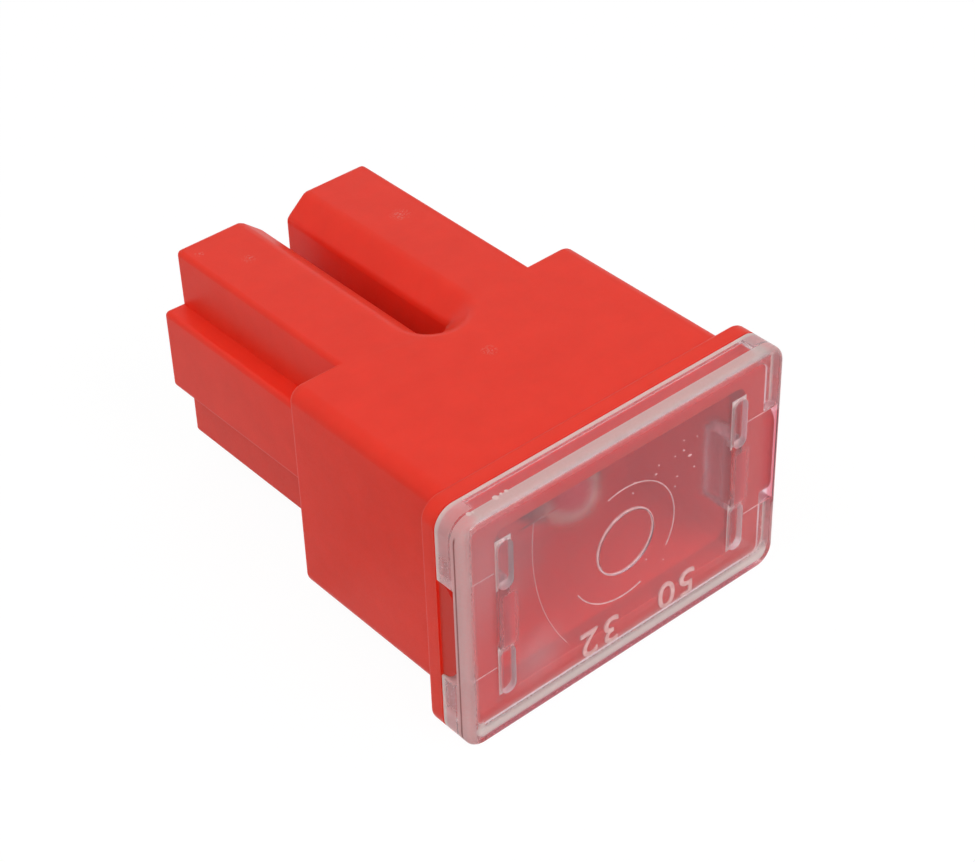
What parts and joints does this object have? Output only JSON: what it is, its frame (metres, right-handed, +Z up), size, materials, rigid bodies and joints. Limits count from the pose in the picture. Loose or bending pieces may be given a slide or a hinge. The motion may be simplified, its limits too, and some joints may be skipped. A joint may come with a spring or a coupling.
{
  "type": "female cartridge fuse",
  "caption": "Cartridge fuse for vehicle fuse boxes: red moulded housing, hollow legs that take blade terminals, and a clear clip-on window cover.",
  "frame": {"origin": "middle of the base under the whole fuse, which lies on one broad side", "axes": "+X across the width, +Y from the window towards the legs, +Z up through the thickness"},
  "size_m": [0.0206, 0.0274, 0.0138],
  "materials": {
    "red_plastic": "satin moulded, fine grain",
    "clear_plastic": "clear, slightly hazy",
    "copper_alloy": "stamped and plated",
    "tin": "dull metal",
    "spring_steel": "bright rolled"
  },
  "bodies": {
    "root": {"housing": "red_plastic", "cover": "clear_plastic", "fuse_strip": "copper_alloy", "tin_pellet": "tin", "contact_spring_left": "spring_steel", "contact_spring_right": "spring_steel"}
  },
  "joints": []
}
